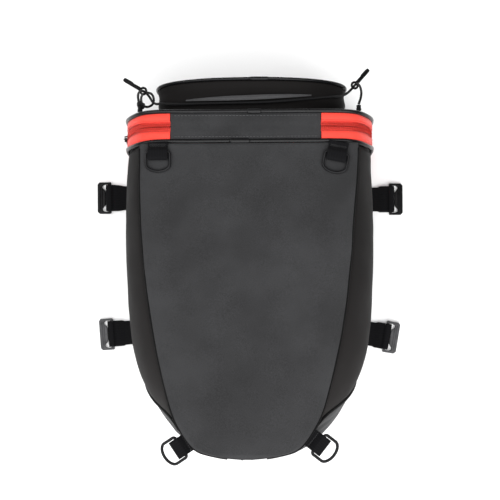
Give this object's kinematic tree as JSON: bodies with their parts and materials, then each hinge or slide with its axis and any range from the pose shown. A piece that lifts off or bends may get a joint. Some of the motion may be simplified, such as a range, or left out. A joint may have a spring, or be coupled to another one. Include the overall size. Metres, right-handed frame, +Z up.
{
  "type": "motorcycle tank bag",
  "caption": "Soft tapered motorcycle tank bag with a zipped hinged lid, pod on the lid, D-rings, side strap buckles and an elastic cord with hooks.",
  "frame": {"origin": "middle of the footprint on the ground, under the bag lying on its front face, leaving out the elastic cord and its hooks", "axes": "+Z up out of the back panel, +Y towards the lid and its pod, +X to the right as the back panel is looked at"},
  "size_m": [0.4312, 0.519, 0.1825],
  "materials": {
    "back_panel_fabric": "matte charcoal coated oxford, slightly speckled",
    "handle_fabric": "smooth dark grey webbing, lit along its upper face",
    "side_panel_leather": "smooth black synthetic leather with a fine grain and soft sheen",
    "red_gusset_fabric": "bright red woven fabric with double stitching",
    "zipper_red": "red woven tape with a covered coil",
    "gloss_piping": "dark grey glossy vinyl piping",
    "black_webbing": "black ribbed polyester webbing",
    "black_plastic": "black moulded acetal, satin, worn lighter on the edges",
    "ring_metal": "black-coated metal, satin",
    "slider_metal": "black-coated die-cast zinc",
    "pull_rubber": "black moulded rubber",
    "elastic_cord": "black braided elastic cord",
    "stiffener_board": "black polyethylene sheet",
    "lining_fabric": "grey polyester lining"
  },
  "bodies": {
    "bag": {"side_panel_right": "side_panel_leather", "lower_wall_right": "back_panel_fabric", "side_panel_left": "side_panel_leather", "lower_wall_left": "back_panel_fabric", "bottom_end_panel": "back_panel_fabric", "back_panel": "back_panel_fabric", "back_stiffener_board": "stiffener_board", "front_panel": "side_panel_leather", "hinge_panel_body": "back_panel_fabric", "red_gusset_body": "red_gusset_fabric", "zipper_coil_body": "zipper_red", "body_rim_piping": "gloss_piping", "body_rim_piping_sleeve": "gloss_piping", "inner_liner": "lining_fabric", "top_strap_loop_right": "black_webbing", "top_strap_loop_left": "black_webbing", "bottom_strap_loop_right": "black_webbing", "bottom_strap_loop_left": "black_webbing", "side_strap_upper_right": "black_webbing", "side_strap_upper_left": "black_webbing", "side_strap_lower_right": "black_webbing", "side_strap_lower_left": "black_webbing"},
    "lid": {"hinge_panel_lid": "back_panel_fabric", "red_gusset_lid": "red_gusset_fabric", "zipper_coil_lid": "zipper_red", "lid_rim_piping": "gloss_piping", "lid_rim_piping_sleeve": "gloss_piping", "lid_top_panel": "side_panel_leather", "pod_wall": "side_panel_leather", "pod_top_panel": "side_panel_leather", "pod_rim_piping": "gloss_piping", "pod_rim_piping_sleeve": "gloss_piping", "grab_handle": "handle_fabric", "bungee_cord": "elastic_cord", "cord_anchor_left": "black_plastic", "cord_anchor_right": "black_plastic", "cord_hook_left": "black_plastic", "cord_hook_right": "black_plastic"},
    "top_d_ring_right": {"top_d_ring_right": "ring_metal"},
    "top_d_ring_left": {"top_d_ring_left": "ring_metal"},
    "bottom_d_ring_right": {"bottom_d_ring_right": "ring_metal"},
    "bottom_d_ring_left": {"bottom_d_ring_left": "ring_metal"},
    "side_buckle_upper_right": {"side_buckle_upper_right": "black_plastic"},
    "side_buckle_upper_left": {"side_buckle_upper_left": "black_plastic"},
    "side_buckle_lower_right": {"side_buckle_lower_right": "black_plastic"},
    "side_buckle_lower_left": {"side_buckle_lower_left": "black_plastic"},
    "zipper_slider_upper": {"zipper_slider_upper": "slider_metal"},
    "zipper_pull_upper": {"zipper_pull_upper": "pull_rubber"},
    "zipper_slider_lower": {"zipper_slider_lower": "slider_metal"},
    "zipper_pull_lower": {"zipper_pull_lower": "pull_rubber"}
  },
  "joints": [
    {"name": "lid_hinge", "type": "hinge", "parent": "bag", "child": "lid", "pos_m": [0.00135, 0.17702, 0.1722], "axis": [1, 0, 0], "range_deg": [0, 100]},
    {"name": "top_d_ring_right_swing", "type": "hinge", "parent": "bag", "child": "top_d_ring_right", "pos_m": [0.11085, 0.14182, 0.1784], "axis": [-0.9816, 0.1908, 0], "range_deg": [0, 155]},
    {"name": "top_d_ring_left_swing", "type": "hinge", "parent": "bag", "child": "top_d_ring_left", "pos_m": [-0.11295, 0.14462, 0.1784], "axis": [-1, 0, 0], "range_deg": [0, 155]},
    {"name": "bottom_d_ring_right_swing", "type": "hinge", "parent": "bag", "child": "bottom_d_ring_right", "pos_m": [0.08615, -0.22178, 0.1636], "axis": [-0.6157, -0.788, 0], "range_deg": [-95, 80]},
    {"name": "bottom_d_ring_left_swing", "type": "hinge", "parent": "bag", "child": "bottom_d_ring_left", "pos_m": [-0.08725, -0.22458, 0.1636], "axis": [-0.5446, 0.8387, 0], "range_deg": [-95, 80]},
    {"name": "side_buckle_upper_right_swing", "type": "hinge", "parent": "bag", "child": "side_buckle_upper_right", "pos_m": [0.19775, 0.11042, 0.0044], "axis": [0, -1, 0], "range_deg": [0, 120]},
    {"name": "side_buckle_upper_left_swing", "type": "hinge", "parent": "bag", "child": "side_buckle_upper_left", "pos_m": [-0.19775, 0.11442, 0.0044], "axis": [0, 1, 0], "range_deg": [0, 120]},
    {"name": "side_buckle_lower_right_swing", "type": "hinge", "parent": "bag", "child": "side_buckle_lower_right", "pos_m": [0.19035, -0.08348, 0.0044], "axis": [-0.1736, -0.9848, 0], "range_deg": [0, 120]},
    {"name": "side_buckle_lower_left_swing", "type": "hinge", "parent": "bag", "child": "side_buckle_lower_left", "pos_m": [-0.19575, -0.07748, 0.0044], "axis": [-0.0698, 0.9976, 0], "range_deg": [0, 120]},
    {"name": "zipper_slider_upper_travel", "type": "slide", "parent": "bag", "child": "zipper_slider_upper", "axis": [0, 0, 1], "range_m": [-0.004, 0.006]},
    {"name": "zipper_pull_upper_swing", "type": "hinge", "parent": "zipper_slider_upper", "child": "zipper_pull_upper", "pos_m": [-0.16365, 0.17702, 0.1], "axis": [0, 1, 0], "range_deg": [0, 100]},
    {"name": "zipper_slider_lower_travel", "type": "slide", "parent": "bag", "child": "zipper_slider_lower", "axis": [0, 0, 1], "range_m": [-0.005, 0.004]},
    {"name": "zipper_pull_lower_swing", "type": "hinge", "parent": "zipper_slider_lower", "child": "zipper_pull_lower", "pos_m": [-0.16365, 0.17702, 0.067], "axis": [0, 1, 0], "range_deg": [0, 100]}
  ]
}
